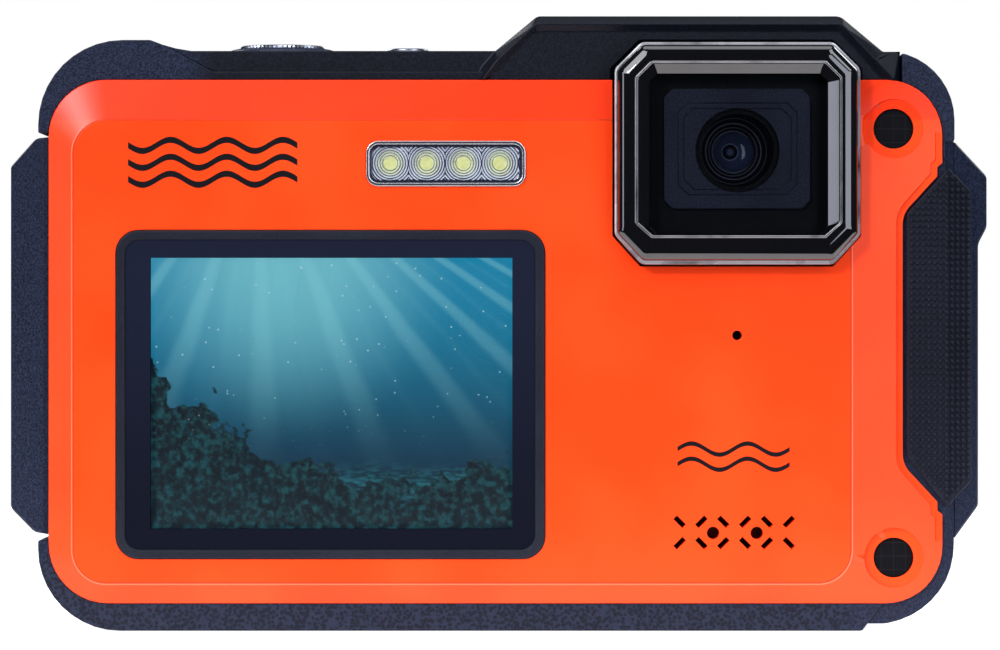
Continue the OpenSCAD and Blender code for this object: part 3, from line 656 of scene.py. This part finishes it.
def lens_glass_finish():
    """Coated glass, dark, with a faint pupil in it and a ring round that as painted reflections, and a
    painted glow, as no lamp light reaches so deep.
    """
    paint = Paint("lens_glass", (0.002, 0.002, 0.004, 1.0), 0.04, Specular_IOR_Level=0.3)
    x, _, z = paint.axes()
    edge = ((x - LENS[0]) ** 2.0 + (z - LENS[1]) ** 2.0).root()
    # The pupil stands a little to one side of the axis, as the prism behind bends the view.
    pupil = ((x - LENS[0] + 0.6) ** 2.0 + (z - LENS[1]) ** 2.0).root()
    # Painted reflections: the pupil is lighter and bluish, with a lighter ring round it.
    glass = paint.mix(pupil.ramp(0.75, 0.95), tone(4, 4, 8), tone(20, 26, 42))
    core = paint.mix(pupil.ramp(0.55, 0.2), glass, tone(34, 40, 58))
    ring = (abs(pupil - 0.92) - 0.03).ramp(0.06, 0.0)
    shade = paint.mix(ring * 0.8, core, tone(52, 58, 78))
    paint.put("Base Color", shade)
    # A painted glow: no lamp light reaches the lens so deep in the barrel.
    paint.put("Emission Color", shade)
    paint.put("Emission Strength", 0.5)
    paint.put("Roughness", 0.03 + edge.ramp(0.4, 2.2) * 0.1)
    return paint.material


def barrel_finish():
    """Matt black with a painted highlight as a fine bright edge on each step, a bluish painted reflection
    inside, and a painted glow, as no lamp light reaches so deep.
    """
    paint = Paint("lens_barrel", tone(4, 4, 7), 0.4, Specular_IOR_Level=0.08)
    x, _, z = paint.axes()
    grain = paint.noise(5.0, 3.0)
    r = ((x - LENS[0] + 0.3) ** 2.0 + (z - LENS[1]) ** 2.0).root()
    # Painted highlights: a fine bright ring on the edge of each step.
    rings = None
    for radius, share in ((2.35, 0.8), (2.72, 0.5), (3.15, 0.9), (3.7, 0.35)):
        ring = (abs(r - radius) - 0.03).ramp(0.06, 0.0) * share
        rings = ring if rings is None else rings.most(ring)
    shade = paint.mix(grain.ramp(0.3, 0.7), tone(1, 1, 2), tone(7, 7, 10))
    # Painted reflection: bluish inside the innermost step.
    shade = paint.mix(r.ramp(2.5, 2.3), shade, tone(13, 17, 28))
    shade = paint.mix(rings, shade, tone(48, 50, 62))
    paint.put("Base Color", shade)
    # A painted glow: no lamp light reaches so deep into the barrel.
    paint.put("Emission Color", shade)
    paint.put("Emission Strength", 0.45)
    paint.relief(grain, 0.006)
    return paint.material


def led_finish():
    """The pale yellow of a light seen through its phosphor."""
    paint = Paint("led_yellow", tone(222, 222, 150), 0.5)
    cell = paint.noise(2.5, 3.0)
    glow = paint.mix(cell.ramp(0.3, 0.7), tone(205, 206, 130), tone(226, 226, 160))
    paint.put("Base Color", glow)
    paint.put("Emission Color", glow)
    paint.put("Emission Strength", 1.15)
    return paint.material


def light_cover_finish():
    """A clear moulded cover with a set of fine prism rings over each light, painted with bands of highlight
    and shade along the rings, pale yellow near each light.
    """
    paint = Paint("light_cover", tone(120, 126, 140), 0.22)
    x, _, z = paint.axes()
    across = (x - (LIGHTS[0] - LIGHT_PITCH / 2)) % LIGHT_PITCH - LIGHT_PITCH / 2
    r = (across ** 2.0 + (z - LIGHT_Z) ** 2.0).root()
    # Painted highlight and shade: light and dark bands along the prism rings.
    ring_highlight_and_shade = (r * (2 * math.pi / RING_PITCH) - 1.1).wave()
    cloud = paint.noise(0.8, 2.0)
    # Near each light the painted bands are tinted pale yellow and greenish, as painted light from the LED
    # below.
    bright = paint.mix(r.ramp(0.9, 1.8), tone(206, 212, 176), tone(196, 202, 212))
    dark = paint.mix(r.ramp(0.8, 2.0), tone(112, 118, 104), tone(38, 42, 66))
    light = (ring_highlight_and_shade + (cloud - 0.5) * 1.2).ramp(-0.45, 0.4)
    paint.put("Base Color", paint.mix(light, dark, bright))
    paint.put("Roughness", 0.18 + cloud * 0.1)
    see_through(paint, r.ramp(LED_VIEW_R - 0.03, LED_VIEW_R + 0.03))
    return paint.material


def lamp_finish():
    """The red status lamp."""
    paint = Paint("lamp", tone(150, 30, 24), 0.2)
    core = paint.noise(2.0, 2.0)
    paint.put("Base Color", paint.mix(core, tone(120, 20, 16), tone(190, 46, 34)))
    paint.put("Coat Weight", 0.6)
    return paint.material


navy = navy_finish()
orange = orange_finish()
rubber = moulded(
    "grip_rubber", tone(13, 15, 26), tone(27, 30, 43), 0.55, 5.0, 0.012, Specular_IOR_Level=0.14)
gloss = bezel_finish()
window = clear_finish("clear_window")
mask_navy = moulded(
    "mask_plate", tone(12, 14, 28), tone(38, 42, 62), 0.55, 4.5, 0.02, Specular_IOR_Level=0.2)
inner_black = moulded(
    "inner_black", tone(1, 1, 2), tone(5, 6, 9), 0.4, 5.0, 0.006, Specular_IOR_Level=0.12)
silver = metal("silver_trim", tone(222, 222, 228), 0.2)
chrome = metal("button_chrome", tone(150, 154, 164), 0.3, 4.0)
steel = metal("steel", tone(150, 152, 158), 0.35, 5.0)
frame_rubber = moulded(
    "screen_frame", tone(17, 19, 29), tone(30, 33, 44), 0.5, 4.5, 0.012, Specular_IOR_Level=0.14)
cap_black = cap_finish()
speaker_black = moulded("speaker_black", tone(6, 6, 9), tone(14, 14, 18), 0.7, 6.0, 0.02)
board_green = moulded("board", tone(12, 58, 34), tone(20, 78, 48), 0.5, 3.0, 0.006)
chip_black = moulded("board_parts", tone(18, 18, 20), tone(34, 34, 38), 0.55, 5.0, 0.006)
wrap = moulded("battery_wrap", tone(30, 32, 40), tone(42, 45, 55), 0.4, 1.2, 0.01)
tray = moulded("tray_plastic", tone(36, 36, 40), tone(50, 50, 55), 0.55, 4.0, 0.01)
gold = metal("contact_metal", tone(222, 184, 96), 0.3, 6.0)
seal = moulded("seal_rubber", tone(70, 72, 78), tone(88, 90, 97), 0.75, 4.0, 0.02)
brass = metal("insert_brass", tone(196, 158, 92), 0.3, 5.0)
latch_grey = moulded("latch_grey", tone(88, 92, 104), tone(108, 112, 124), 0.5, 5.5, 0.01)
key_plastic = moulded("key_plastic", tone(34, 36, 50), tone(46, 48, 64), 0.5, 6.0, 0.01)
white_metal = metal("reflector", tone(205, 208, 214), 0.28, 2.0)
front_glass = screen_glass_finish("front_screen_glass", *FRONT_PICTURE, tone(15, 17, 28), tone(24, 28, 44))
rear_glass = screen_glass_finish("rear_screen_glass", *REAR_PICTURE, tone(6, 7, 10), tone(10, 11, 15))
front_picture = underwater_finish("screen_panel", *FRONT_PICTURE, 1.0)
rear_picture = underwater_finish("rear_screen_panel", *REAR_PICTURE, 0.9)
lens_glass_painted_glow = lens_glass_finish()
barrel_black = barrel_finish()
collar_navy = moulded(
    "button_collar", tone(24, 28, 46), tone(42, 48, 72), 0.42, 6.0, 0.01, Specular_IOR_Level=0.3)
led = led_finish()
light_cover = light_cover_finish()
lamp = lamp_finish()
border_clear = glossy_black("light_border", (0.014, 0.016, 0.03, 1.0), 0.15)

# The CAD parts that show as they are, or stay inside, and their finishes.
KEPT = {
    "lens_window": window, "lens_shroud": inner_black, "lens_case": inner_black,
    "lens_prism": lens_glass_painted_glow, "lens_group": lens_glass_painted_glow, "image_sensor": board_green,
    "light_reflector": white_metal, "light_leds": led, "light_board": board_green,
    "front_screen_glass": front_glass, "front_screen_panel": front_picture,
    "rear_screen_panel": rear_picture, "speaker": speaker_black, "microphone": speaker_black,
    "main_board": board_green, "button_board": board_green, "board_parts": chip_black,
    "battery": wrap, "battery_tray": tray, "battery_contacts": gold, "card_slot": steel,
    "usb_port": steel, "case_seal": seal, "door_seal": seal, "case_screws": steel,
    "hinge_pin": steel, "front_housing": navy,
}
for node, material in KEPT.items():
    piece = frame["nodes"][node]
    for place in piece.material_slots:
        place.material = material

# The CAD parts shown with their edges rounded: finish, slot and width of the rounding in millimetres.
EASED = {
    "top_cover": (navy, "navy_shell", 0.16, 3),
    "left_bumper": (navy, "navy_shell", 0.15, 3),
    "right_bumper": (navy, "navy_shell", 0.15, 3),
    "base_foot": (navy, "navy_shell", 0.16, 2),
    "grip_plate": (navy, "navy_shell", 0.35, 3),
    "lens_barrel": (barrel_black, "inner_black", 0.05, 2),
    "light_rim": (silver, "silver_trim", 0.12, 3),
    "front_screen_frame": (frame_rubber, "screen_frame", 0.28, 3),
    "corner_caps": (cap_black, "cap_black", 0.14, 2),
    "rear_screen_glass": (rear_glass, "clear_window", 0.25, 3),
    "tripod_insert": (brass, "insert_brass", 0.12, 2),
    "door_latch": (latch_grey, "latch_grey", 0.18, 3),
    "power_button": (chrome, "button_chrome", 0.2, 3),
    "zoom_rocker": (key_plastic, "key_plastic", 0.3, 3),
    "menu_key": (key_plastic, "key_plastic", 0.25, 3),
    "play_key": (key_plastic, "key_plastic", 0.25, 3),
    "screen_key": (key_plastic, "key_plastic", 0.25, 3),
    "ok_key": (key_plastic, "key_plastic", 0.25, 3),
    "status_lamp": (lamp, "lamp", 0.2, 3),
}
BODY = {node: body for body, nodes in record["behaviour"]["bodies"].items() for node in nodes}
for node, (material, slot, width, segments) in EASED.items():
    dress(eased_copy(node, width, segments), material, BODY[node], [node])


def in_front_of(y):
    """A box with all of the camera that lies in front of a depth in millimetres."""
    return (-60.0, -20.0, -1.0), (60.0, y, 70.0)


def right_of(x):
    """A box with all of the camera that lies to the right of a place in millimetres."""
    return (x, -20.0, -1.0), (60.0, 20.0, 70.0)


# Parts whose edges stay sharp in places: round the speaker slots and the caps, and on inner sides.
PARTLY_EASED = {
    "front_cover": (orange, "orange_cover", 0.1, [
        ((18.0, -20.0, 8.0), (35.0, 0.0, 14.0)),
        ((40.2, -20.0, 52.4), (48.3, 0.0, 60.4)),
        ((40.2, -20.0, 4.2), (48.3, 0.0, 12.4)),
    ]),
    "main_housing": (navy, "navy_shell", 0.3, [in_front_of(11.8)]),
    "battery_door": (navy, "navy_shell", 0.35, [right_of(-51.5)]),
    "arrow_up": (key_plastic, "key_plastic", 0.22, [in_front_of(12.5)]),
    "arrow_down": (key_plastic, "key_plastic", 0.22, [in_front_of(12.5)]),
    "arrow_left": (key_plastic, "key_plastic", 0.22, [in_front_of(12.5)]),
    "arrow_right": (key_plastic, "key_plastic", 0.22, [in_front_of(12.5)]),
}
for node, (material, slot, width, plain) in PARTLY_EASED.items():
    kept = () if node == "front_cover" else plain
    dress(eased_copy(node, width, 3, plain, kept), material, BODY[node], [node])


# ---------------------------------------------------------------- lens bezel and lens

def make_bezel():
    """A glossy roll from the outer rim up to a thin ridge, then a bevel down to the window."""
    back, roll_foot, roll_rise, roll_steps, ridge_top = -9.5, -14.2, 1.2, 12, -15.5

    def eased_outline(corners, r):
        return outline([(x, z, r) for x, z, _ in corners], 5)

    rim = eased_outline(octagon(12.9, 40.4, 41.1, 66, 3, 3.3), 1.1)
    ridge = eased_outline(octagon(15.2, 38.3, 44.1, 63.8, 1.8, 1.6), 0.45)
    ridge_in = eased_outline(octagon(15.46, 38.04, 44.36, 63.54, 1.7, 1.5), 0.35)
    opening = eased_outline(octagon(16.8, 36.7, 44.5, 62.4, 0.9, 0.9), 0.25)
    roll = [(0.0, back), (0.0, -13.95), (0.02, -14.08), (0.09, -14.17), (0.115, -14.17), (0.13, roll_foot)]
    for i in range(1, roll_steps + 1):
        t = i / roll_steps
        roll.append((0.13 + 0.86 * t, roll_foot - roll_rise * math.sqrt(1 - (1 - t) ** 2)))
    rings = blend_rings(rim, ridge, roll)
    rings += blend_rings(ridge, ridge_in, [
        (0.12, ridge_top), (0.34, ridge_top), (0.42, -15.44), (0.58, -15.44), (0.66, ridge_top),
        (0.88, ridge_top), (1.0, -15.43),
    ])
    rings += blend_rings(ridge_in, opening, [(0.08, -15.39), (0.97, -14.72), (1.0, -14.66), (1.0, back)])
    bezel = loft("lens_bezel_roll", rings, hollow=True)
    ease(bezel, 0.03, 1, 50.0)
    dress(smooth(bezel, 24.0), gloss, "case", ["lens_bezel"])


def make_mask():
    """The plate round the lens, with a fine double groove that follows its outline."""
    edge, groove_edge = (18.5, 34.8, 47.4, 60.8, 0.9), (20.0, 33.4, 48.85, 59.25, 1.1)
    back, front, groove_depth, groove_width, slope = -12.35, -12.9, 0.09, 0.12, 0.03
    barrel_hole_r = 4.7
    rings = []

    def ring(x0, x1, z0, z1, cut, y):
        rings.append(at_depth([p[:2] for p in octagon(x0, x1, z0, z1, cut, cut)], y))

    def grown(box, by):
        return box[0] - by, box[1] + by, box[2] - by, box[3] + by

    ring(*edge, back)
    ring(*edge, front)
    cut = groove_edge[4]
    for inset in (0.0, 0.62):
        outer = grown(groove_edge, -inset)
        inner = grown(outer, -groove_width)
        ring(*outer, cut, front)
        ring(*grown(outer, -slope), cut, front + groove_depth)
        ring(*grown(inner, slope), cut, front + groove_depth)
        ring(*inner, cut, front)
    plate = loft("lens_mask_plate", rings)
    hole = loft("hole", [circle(*LENS, barrel_hole_r, -20.0, 96), circle(*LENS, barrel_hole_r, 0.0, 96)])
    cut_out(plate, hole)
    ease(plate, 0.05, 2, 60.0)
    dress(smooth(plate), mask_navy, "case", ["lens_mask"])


def cut_out(piece, cutter):
    """Takes the cutter's shape out of the piece."""
    alone(piece)
    cut = piece.modifiers.new("cut", "BOOLEAN")
    cut.operation = "DIFFERENCE"
    cut.object = cutter
    cut.solver = "EXACT"
    bpy.ops.object.modifier_apply(modifier=cut.name)
    bpy.data.objects.remove(cutter)


def turned(name, centre, profile, sides=72, hollow=False):
    """A shape turned about an axis along Y, its profile given as (radius, depth) pairs."""
    return loft(name, [circle(*centre, r, y, sides) for r, y in profile], hollow)


def make_front_lens():
    """The dome of the foremost lens."""
    dome_r, dome_foot, dome_rise, steps = 2.12, -6.35, 0.75, 12
    dome = [(2.15, -6.2), (2.15, dome_foot)]
    for i in range(1, steps):
        turn = math.radians(90 * i / steps)
        dome.append((max(dome_r * math.cos(turn), 0.05), dome_foot - dome_rise * math.sin(turn)))
    lens = turned("front_lens_dome", LENS, dome)
    dress(smooth(lens, 40.0), lens_glass_painted_glow, "case", ["front_lens"])


# ---------------------------------------------------------------- light cover

def make_light_cover():
    """Prism rings over each of the four lights, inside a plain border."""
    left, right, low, high = -14.2, 2.3, 50.62, 54.3
    cell_r, cell_back, valley, crest = 3.3, -11.4, -11.9, -12.06
    cells = []
    for x in LIGHTS:
        profile = [(cell_r, cell_back), (cell_r, valley)]
        r = cell_r
        while r - RING_PITCH > LED_VIEW_R + 0.05:
            profile += [(r - RING_PITCH * 0.8, crest), (r - RING_PITCH, valley)]
            r -= RING_PITCH
        profile += [(LED_VIEW_R, -11.95), (0.4, -12.03), (0.08, crest)]
        cell = turned("light_cell", (x, LIGHT_Z), profile, 48)
        start = x - LIGHT_PITCH / 2 if x > LIGHTS[0] else left
        end = x + LIGHT_PITCH / 2 if x < LIGHTS[-1] else right
        for place, normal in (
            ((start, 0, 0), (-1, 0, 0)), ((end, 0, 0), (1, 0, 0)),
            ((0, 0, low), (0, 0, -1)), ((0, 0, high), (0, 0, 1)),
        ):
            alone(cell, "EDIT")
            bpy.ops.mesh.select_all(action="SELECT")
            bpy.ops.mesh.bisect(plane_co=Vector(place) * MM, plane_no=normal, use_fill=True, clear_outer=True)
            done()
        settle(cell)
        cells.append(cell)
    edge = outline(rounded(-14.5, 2.6, 50.3, 54.6, 1))
    inner = outline(rounded(-14.22, 2.32, 50.6, 54.32, 0.8))
    base = loft("light_border", [
        at_depth(edge, -11.3), at_depth(edge, -12.1), at_depth(inner, -12.1), at_depth(inner, -11.3)
    ], hollow=True)
    for cell in cells:
        dress(cell, light_cover)
    cover = join(cells, "light_cover_rings")
    dress(smooth(cover, 20.0), light_cover, "case", ["light_lens"])
    dress(smooth(ease(base, 0.06, 2)), border_clear, "case")


# ---------------------------------------------------------------- grip pad

# The pad's flat front, and where and how steeply it turns back, in millimetres.
PAD_FRONT = -11.2
GRIP_BEND_X = 50.2
GRIP_SLOPE = 2.2 / 2.8


def inside(point, corners, margin):
    """True if a point lies inside a convex outline by at least the margin."""
    flat = [Vector(c[:2]) for c in corners]
    for a, b in zip(flat, flat[1:] + flat[:1]):
        along = (b - a).normalized()
        if along.x * (point.y - a.y) - along.y * (point.x - a.x) < margin:
            return False
    return True


def make_grip_pad():
    """The rubber pad with small dots in straight rows all over it."""
    pad = eased_copy("grip_pad", 0.18, 3)
    dot = turned("dot", (0, 0), [(0.25, 0.1), (0.25, -0.06), (0.22, -0.19), (0.14, -0.27), (0.06, -0.29)], 10)
    shape = [(50.3, 13.9), (53.25, 16.8), (53.25, 49.4), (50.45, 52), (45.8, 46.9), (45.8, 19.6)]
    first_x, pitch_x, columns = 46.3, 0.65, 11
    first_z, pitch_z, rows = 14.6, 0.686, 54
    places = []
    for column in range(columns):
        for row in range(rows):
            x, z = first_x + pitch_x * column, first_z + pitch_z * row
            if inside(Vector((x, z)), shape, 0.32):
                y = PAD_FRONT + max(0.0, x - GRIP_BEND_X) * GRIP_SLOPE
                places.append((x, y, z))
    dots = copies(dot, places, "grip_dots")
    pad = join([pad, dots], "grip_pad_dotted")
    dress(smooth(pad), rubber, "case", ["grip_pad"])


# ---------------------------------------------------------------- buttons on the top deck

DECK_Z = 65.2


def middle_of(node):
    """The place of a part's middle as seen from above, in millimetres."""
    lo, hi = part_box(node)
    return (lo.x + hi.x) / 2 / MM, (lo.y + hi.y) / 2 / MM


def make_shutter_button():
    """A knurled push button with a shallow dish in its top."""
    lo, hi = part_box("shutter_button")
    x, y = middle_of("shutter_button")
    low, top = lo.z / MM, hi.z / MM
    stem_r, flange_r, flange_low, flange_top = 1.2, 5.4, 62.1, 62.75
    neck_r, neck_top, cap_r, knurl, dish_r, dish = 4.7, 65.85, 4.8, 0.12, 3.9, 0.14
    sides = 120

    def plain(r, z):
        return flat_ring(x, y, r, z, sides)

    def knurled(r, z, depth):
        centre = Vector((x, y, z)) * MM
        return [centre + (p - centre) * (1 - depth / r * (i % 2)) for i, p in enumerate(plain(r, z))]

    rings = [
        plain(stem_r, low), plain(stem_r, flange_low), plain(flange_r, flange_low),
        plain(flange_r, flange_top), plain(neck_r, flange_top), plain(neck_r, neck_top),
        knurled(cap_r, 65.9, knurl), knurled(cap_r, top - 0.14, knurl), knurled(4.72, top - 0.05, 0.05),
        plain(4.6, top), plain(4.0, top),
    ]
    for r in (3.8, 2.8, 1.6, 0.4):
        rings.append(plain(r, top - dish * math.cos(r / dish_r * math.pi / 2)))
    button = loft("shutter_button_cap", rings)
    dress(smooth(button, 30.0), chrome, "shutter", ["shutter_button"])


def make_button_rings():
    """The low domed collar round the shutter button, and the bright ring round the power button."""
    for name, node, material, slot, profile in (
        ("shutter_collar", "shutter_button", collar_navy, "navy_shell", [
            (6.2, DECK_Z), (6.2, 65.42), (6.12, 65.58), (5.9, 65.72), (5.55, 65.83), (5.15, 65.9),
            (4.99, 65.88), (4.93, 65.8), (4.93, DECK_Z)
        ]),
        ("power_ring", "power_button", chrome, "button_chrome", [
            (2.8, DECK_Z), (2.8, 65.56), (2.76, 65.65), (2.68, 65.7), (2.5, 65.7), (2.44, 65.64),
            (2.43, DECK_Z)
        ]),
    ):
        x, y = middle_of(node)
        ring = loft(name, [flat_ring(x, y, r, z, 96) for r, z in profile], hollow=True)
        stands_for = ["button_rings"] if name == "shutter_collar" else []
        dress(smooth(ring, 40.0), material, "case", stands_for)


make_bezel()
make_mask()
make_front_lens()
make_light_cover()
make_grip_pad()
make_shutter_button()
make_button_rings()


# ---------------------------------------------------------------- room, light and camera

scene = bpy.context.scene
scene.view_settings.view_transform = "Standard"
FELT_STRENGTH = 0.045


def make_floor():
    """A white disc under the object and behind it, in metres, that fades into the white of the room."""
    radius, middle_y, just_below = 0.24, 0.182, -0.0002
    floor_paint = Paint("floor", (0.9, 0.9, 0.9, 1.0), 0.6)
    grain = floor_paint.noise(0.02, 2.0)
    floor_paint.put("Base Color", floor_paint.mix(grain, (0.88, 0.88, 0.88, 1), (0.92, 0.92, 0.92, 1)))
    floor_paint.put("Emission Color", (1.0, 1.0, 1.0, 1.0))
    x, y, _ = floor_paint.axes()
    away = (x ** 2.0 + y ** 2.0).root()
    floor_paint.put("Emission Strength", 0.35 + away.ramp(70.0, 150.0) * 0.65)
    bpy.ops.object.select_all(action="DESELECT")
    bpy.ops.mesh.primitive_circle_add(
        vertices=96, radius=radius, fill_type="NGON", location=(0, middle_y, just_below))
    floor = bpy.context.object
    floor.name = "floor"
    floor.data.materials.append(floor_paint.material)


def soft_box(name, place, aim, width, height, watts, color=(0.93, 0.96, 1.0)):
    """A flat lamp at a place in metres, turned towards the aim, that the camera doesn't see."""
    light = bpy.data.lights.new(name, "AREA")
    light.shape = "RECTANGLE"
    light.size, light.size_y = width, height
    light.energy = watts
    light.color = color
    made = bpy.data.objects.new(name, light)
    scene.collection.objects.link(made)
    made.location = place
    made.rotation_euler = (Vector(place) - Vector(aim)).to_track_quat("Z", "Y").to_euler()
    made.visible_camera = False


def make_world():
    """White to the camera, dim to the object, so that only the soft boxes show in the gloss."""
    world = bpy.data.worlds.new("studio")
    scene.world = world
    world.use_nodes = True
    tree = world.node_tree
    tree.nodes.clear()
    output = tree.nodes.new("ShaderNodeOutputWorld")
    seen, felt = tree.nodes.new("ShaderNodeBackground"), tree.nodes.new("ShaderNodeBackground")
    seen.inputs["Color"].default_value = (1, 1, 1, 1)
    felt.inputs["Color"].default_value = (0.9, 0.95, 1.0, 1)
    felt.inputs["Strength"].default_value = FELT_STRENGTH
    path = tree.nodes.new("ShaderNodeLightPath")
    mix = tree.nodes.new("ShaderNodeMixShader")
    tree.links.new(path.outputs["Is Camera Ray"], mix.inputs[0])
    tree.links.new(felt.outputs[0], mix.inputs[1])
    tree.links.new(seen.outputs[0], mix.inputs[2])
    tree.links.new(mix.outputs[0], output.inputs[0])


make_floor()
make_world()
# The lamps all face the middle of the front.
AIM = (0.0, -0.01, 0.034)
VIOLET = (0.82, 0.86, 1.0)
soft_box("key", (-0.55, -0.75, 0.62), AIM, 0.6, 0.6, 6.5)
soft_box("right_panel", (0.39, -0.58, 0.12), AIM, 0.36, 0.55, 2.7, VIOLET)
soft_box("left_strip", (-0.567, -0.386, 0.06), AIM, 0.12, 0.5, 0.8, VIOLET)
soft_box("corner_glint", (-0.37, -0.74, 0.42), AIM, 0.12, 0.08, 3.2)
soft_box("right_high", (0.5, -0.55, 0.75), AIM, 0.4, 0.4, 2.2)
soft_box("top", (0.0, -0.1, 0.9), AIM, 0.9, 0.6, 4.0)
soft_box("back_left", (-0.6, 0.8, 0.5), AIM, 0.5, 0.5, 4.0)
soft_box("back_right", (0.7, 0.7, 0.5), AIM, 0.5, 0.5, 4.0)

# Straight on and level, framed on the middle of the front.
FRAME_WIDTH = 0.1123
FRAME_MIDDLE = (0.00011, 0.03436)
FRONT_PLANE = -0.011
DISTANCE = 0.6
camera_data = bpy.data.cameras.new("camera")
camera = bpy.data.objects.new("camera", camera_data)
scene.collection.objects.link(camera)
camera.location = (FRAME_MIDDLE[0], FRONT_PLANE - DISTANCE, FRAME_MIDDLE[1])
camera.rotation_euler = (math.radians(90), 0, 0)
camera_data.sensor_width = 36.0
camera_data.lens = camera_data.sensor_width * DISTANCE / FRAME_WIDTH
camera_data.clip_start = 0.01
scene.camera = camera
